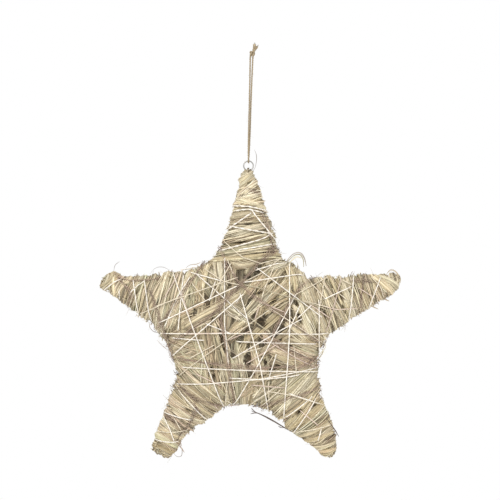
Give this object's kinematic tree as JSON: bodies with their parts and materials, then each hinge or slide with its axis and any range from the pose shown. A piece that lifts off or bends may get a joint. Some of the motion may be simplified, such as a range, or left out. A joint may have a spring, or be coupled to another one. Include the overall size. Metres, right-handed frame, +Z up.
{
  "type": "straw star ornament",
  "caption": "Flat padded star of wound straw, tied round with brown vine and white twine, with a wire ring and a knotted hanging cord.",
  "frame": {"origin": "the point under the knot, inside the top of the cord loop, where a hook carries the ornament", "axes": "+Z up along the hanging cord, -Y out of the front face, +X to the right of the front view"},
  "size_m": [0.2978, 0.0601, 0.4144],
  "materials": {
    "straw": "dry matt straw",
    "brown_vine": "dry fibrous vine",
    "white_twine": "matt paper-like twine",
    "steel_wire": "plain drawn wire",
    "jute": "twisted jute"
  },
  "bodies": {
    "root": {"straw_star": "straw", "brown_vine": "brown_vine", "white_twine": "white_twine", "hanging_ring": "steel_wire", "hanging_cord": "jute", "cord_knot": "jute"}
  },
  "joints": []
}
